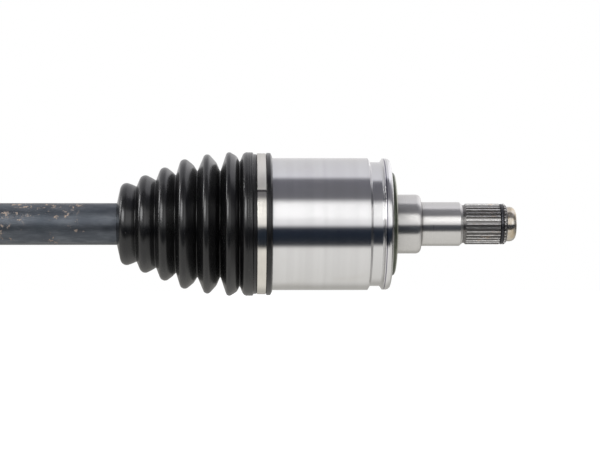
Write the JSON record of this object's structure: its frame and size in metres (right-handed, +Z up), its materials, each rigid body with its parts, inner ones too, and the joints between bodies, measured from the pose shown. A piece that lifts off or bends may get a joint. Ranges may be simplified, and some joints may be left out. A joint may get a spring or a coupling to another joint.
{
  "type": "cv axle shaft",
  "caption": "Front drive axle: tripod plunging joint with splined stub, solid bar, and fixed ball joint with splined, threaded stub, each joint under a folded boot.",
  "frame": {"origin": "on the axle's axis, at the face where the inboard oil-seal journal starts", "axes": "+X along the axle towards the differential, +Z up, the picture looks along +Y"},
  "size_m": [0.641, 0.0942, 0.0942],
  "materials": {
    "turned_steel": "fine turned, lightly oiled",
    "blued_steel": "blue-black oxide with rust flecks",
    "shield_steel": "phosphated, dark green-grey",
    "spring_steel": "black oxide spring steel",
    "bearing_steel": "polished bearing steel",
    "hardened_steel": "ground and hardened",
    "stainless_band": "rolled stainless strip",
    "boot_black": "glossy moulded thermoplastic elastomer"
  },
  "bodies": {
    "tripod_housing": {"inner_housing": "turned_steel", "dust_shield": "shield_steel", "stub_circlip": "spring_steel", "stop_ring": "spring_steel", "inner_boot": "boot_black", "inner_large_clamp": "stainless_band"},
    "tripod_carrier": {"needles_1": "bearing_steel"},
    "roller_a": {"roller_1": "bearing_steel"},
    "shaft": {"axle_bar": "blued_steel", "spider": "hardened_steel", "trunnion_washers": "bearing_steel", "trunnion_clips": "spring_steel", "snap_rings": "spring_steel", "needles_2": "bearing_steel", "needles_3": "bearing_steel", "inner_small_clamp": "stainless_band", "inner_race": "hardened_steel", "outer_boot": "boot_black", "outer_small_clamp": "stainless_band"},
    "roller_b": {"roller_2": "bearing_steel"},
    "roller_c": {"roller_3": "bearing_steel"},
    "ball_cage": {"cage": "hardened_steel", "ball_1": "bearing_steel", "ball_2": "bearing_steel", "ball_3": "bearing_steel", "ball_4": "bearing_steel", "ball_5": "bearing_steel", "ball_6": "bearing_steel"},
    "bell": {"outer_race": "turned_steel", "outer_large_clamp": "stainless_band"}
  },
  "joints": [
    {"name": "tripod_plunge", "type": "slide", "parent": "tripod_housing", "child": "tripod_carrier", "axis": [1, 0, 0], "range_m": [-0.012, 0.012], "deforming": ["inner_boot"]},
    {"name": "roller_a_spin", "type": "hinge", "parent": "tripod_carrier", "child": "roller_a", "pos_m": [-0.052, 0.0215, 0], "axis": [0, 1, 0], "range_deg": [-50, 50]},
    {"name": "tripod_bend", "type": "hinge", "parent": "tripod_carrier", "child": "shaft", "pos_m": [-0.052, 0, 0], "axis": [0, 1, 0], "range_deg": [-20, 20], "deforming": ["inner_boot"]},
    {"name": "roller_b_spin", "type": "hinge", "parent": "shaft", "child": "roller_b", "pos_m": [-0.052, -0.01075, 0.01862], "axis": [0, -0.5, 0.866], "range_deg": [-50, 50]},
    {"name": "roller_c_spin", "type": "hinge", "parent": "shaft", "child": "roller_c", "pos_m": [-0.052, -0.01075, -0.01862], "axis": [0, -0.5, -0.866], "range_deg": [-50, 50]},
    {"name": "ball_joint_bend", "type": "hinge", "parent": "shaft", "child": "bell", "pos_m": [-0.452, 0, 0], "axis": [0, 0, 1], "range_deg": [-45, 45], "deforming": ["outer_boot"]},
    {"name": "cage_bend", "type": "hinge", "parent": "shaft", "child": "ball_cage", "pos_m": [-0.452, 0, 0], "axis": [0, 0, 1], "range_deg": [-22.5, 22.5]}
  ],
  "couplings": [
    {"joint": "roller_a_spin", "follows": "tripod_plunge", "rad_per_m": 62.5},
    {"joint": "roller_b_spin", "follows": "tripod_plunge", "rad_per_m": 62.5},
    {"joint": "roller_c_spin", "follows": "tripod_plunge", "rad_per_m": 62.5},
    {"joint": "cage_bend", "follows": "ball_joint_bend", "ratio": 0.5}
  ]
}
